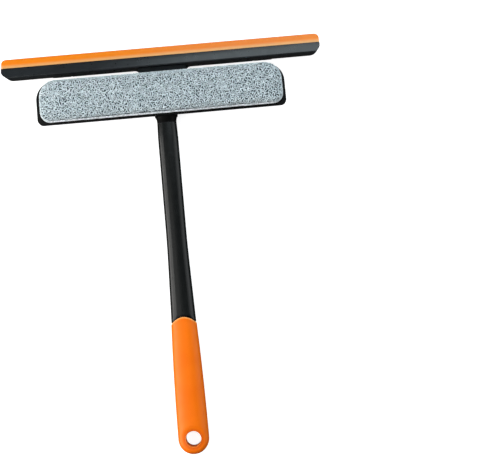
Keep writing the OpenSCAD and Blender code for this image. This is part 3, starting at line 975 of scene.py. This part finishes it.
def make_hooks(material):
    """Rows of small hooks that stand on each strip."""
    dice = random.Random(SEED + 1)
    for node in ("hook_strip_upper", "hook_strip_lower"):
        low, high = box_mm(node)
        verts, faces = [], []
        left, lowest = low.x + HOOK_START[0], low.y + HOOK_START[1]
        for i in range(int((high.x - low.x - HOOK_SPARE[0]) / HOOK_PITCH)):
            for j in range(int((high.y - low.y - HOOK_SPARE[1]) / HOOK_PITCH)):
                x = left + (i + 0.5 * (j % 2)) * HOOK_PITCH + dice.uniform(*HOOK_JITTER)
                y = lowest + j * HOOK_PITCH + dice.uniform(*HOOK_JITTER)
                lean = dice.uniform(*HOOK_LEAN) * (1 if j % 2 else -1)
                first = len(verts)
                # The foot stands in the strip, and the tip bends over and down
                levels = (
                    (-0.1, 0, HOOK_STEM),
                    (0.35, 0, HOOK_STEM),
                    (0.6, lean, HOOK_STEM * 0.9),
                    (0.4, 2 * lean, HOOK_STEM * 0.5),
                )
                for rise, shift, size in levels:
                    for dx, dy in ((-1, -1), (1, -1), (1, 1), (-1, 1)):
                        verts.append((x + size * dx, y + shift + size * dy, high.z + rise))
                faces += square_tube(first, len(levels) - 1)
        hooks = piece(node.replace("strip", "pins"), verts, faces, material)
        place(hooks, "tool", "hook_nylon")


# ---------------------------------------------------------------- stage
def make_stage(material):
    """Pale floor and backdrop, soft lights and the camera."""
    half, floor_z, backdrop_top, sides = 3000, -0.1, 2000, 32
    corners = ((-half, -half), (half, -half), (half, half), (-half, half))
    floor = piece("floor", [(x, y, floor_z) for x, y in corners], [(0, 1, 2, 3)], material)
    radius = half * 0.98
    angles = [2 * math.pi * k / sides for k in range(sides)]
    rings = [
        [(radius * math.cos(angle), radius * math.sin(angle), z) for angle in angles]
        for z in (floor_z - 1, backdrop_top)
    ]
    backdrop = piece("backdrop", *loft(rings), material)
    for obj in (floor, backdrop):
        obj.visible_diffuse = obj.visible_glossy = False
    backdrop.visible_shadow = False

    world = bpy.data.worlds.new("studio")
    world.use_nodes = True
    nodes, links = world.node_tree.nodes, world.node_tree.links
    background = nodes["Background"]
    background.inputs["Color"].default_value = (0.95, 0.98, 1.0, 1)
    direction = nodes.new("ShaderNodeSeparateXYZ")
    horizon = nodes.new("ShaderNodeMapRange")
    limits = {"From Min": -0.25, "From Max": 0.15, "To Min": 0.03, "To Max": 0.13}
    for socket, number in limits.items():
        horizon.inputs[socket].default_value = number
    links.new(nodes.new("ShaderNodeTexCoord").outputs["Generated"], direction.inputs[0])
    links.new(direction.outputs["Z"], horizon.inputs["Value"])
    links.new(horizon.outputs["Result"], background.inputs["Strength"])
    bpy.context.scene.world = world

    # Name, direction, distance and size in millimetres, brightness, colour
    lights = (
        ("left_strip", (-0.966, -0.20, 0.259), 620, (310, 700), 5.6, (1.0, 0.98, 0.95)),
        ("left_upper", (-0.72, -0.20, 0.69), 620, (280, 700), 4.0, (1.0, 0.99, 0.96)),
        ("left_overhead", (-0.309, -0.19, 0.951), 900, (415, 680), 1.0, (1.0, 0.99, 0.97)),
        ("right_strip", (0.951, 0.0, 0.309), 620, (400, 800), 1.7, (0.95, 0.98, 1.0)),
        ("right_upper", (0.72, -0.10, 0.69), 620, (260, 700), 1.0, (0.95, 0.98, 1.0)),
        ("right_overhead", (0.205, 0.40, 0.90), 850, (450, 220), 0.9, (0.85, 0.95, 1.0)),
        ("back_softbox", (0.33, 0.71, 0.6), 760, (620, 520), 2.6, (0.82, 0.95, 1.0)),
    )
    centre = Vector((0, 40, 10))
    for name, towards, distance, size, brightness, colour in lights:
        light = bpy.data.lights.new(name, "AREA")
        light.shape, light.size, light.size_y = "RECTANGLE", size[0] * MM, size[1] * MM
        light.energy = brightness * math.pi * light.size * light.size_y
        light.color = colour
        lamp = bpy.data.objects.new(name, light)
        away = Vector(towards).normalized()
        lamp.location = (centre + away * distance) * MM
        # The long side of a strip lies along Y
        across = Vector((0, 1, 0)).cross(away).normalized()
        turn = Matrix((across, away.cross(across), away)).transposed()
        lamp.rotation_euler = turn.to_euler()
        bpy.context.scene.collection.objects.link(lamp)

    # The camera looks down from over the handle's side of the head, leans a little and is rolled
    aim = Vector((55.28, 10.03, 10.0)) * MM
    distance, lens, roll = 0.7, 62.45, math.radians(-5.36)
    lean_x, lean_y = math.radians(1.378), math.radians(6.0)
    forward = Vector((math.tan(lean_x), math.tan(lean_y), -1)).normalized()
    right = forward.cross(Vector((0, 1, 0))).normalized()
    up = right.cross(forward)
    image_right = right * math.cos(roll) + up * math.sin(roll)
    image_up = up * math.cos(roll) - right * math.sin(roll)
    data = bpy.data.cameras.new("camera")
    data.lens, data.sensor_width = lens, 36.0
    data.clip_start, data.clip_end = 0.01, 20
    camera = bpy.data.objects.new("camera", data)
    turn = Matrix((image_right, image_up, -forward)).transposed().to_quaternion()
    camera.matrix_world = Matrix.LocRotScale(aim - forward * distance, turn, None)
    bpy.context.scene.collection.objects.link(camera)
    bpy.context.scene.camera = camera
    bpy.context.scene.view_settings.view_transform = "Standard"


finishes = make_materials()
make_stage(finishes["floor"])

soften("squeegee_blade", 0.2, finishes["orange_rubber"])
soften("blade_holder", 0.35, finishes["holder_plastic"])
soften("head_frame", 0.3, finishes["black_plastic"])
soften("pad_plate", 0.5, finishes["plate_plastic"])
for screws in ("holder_screws", "frame_screws", "shaft_screw"):
    soften(screws, 0.15, finishes["screw_steel"])
for strip in ("hook_strip_upper", "hook_strip_lower"):
    soften(strip, 0.1, finishes["hook_nylon"])

make_shaft(finishes["shaft_plastic"])
make_grip(finishes["orange_grip"])
make_hooks(finishes["hook_nylon"])
make_backing(finishes["loop_cloth"])
make_foam(finishes["pad_foam"])
make_binding(finishes["edge_binding"])
make_pile(make_cover(finishes["pile_ground"]), finishes["looped_pile"])
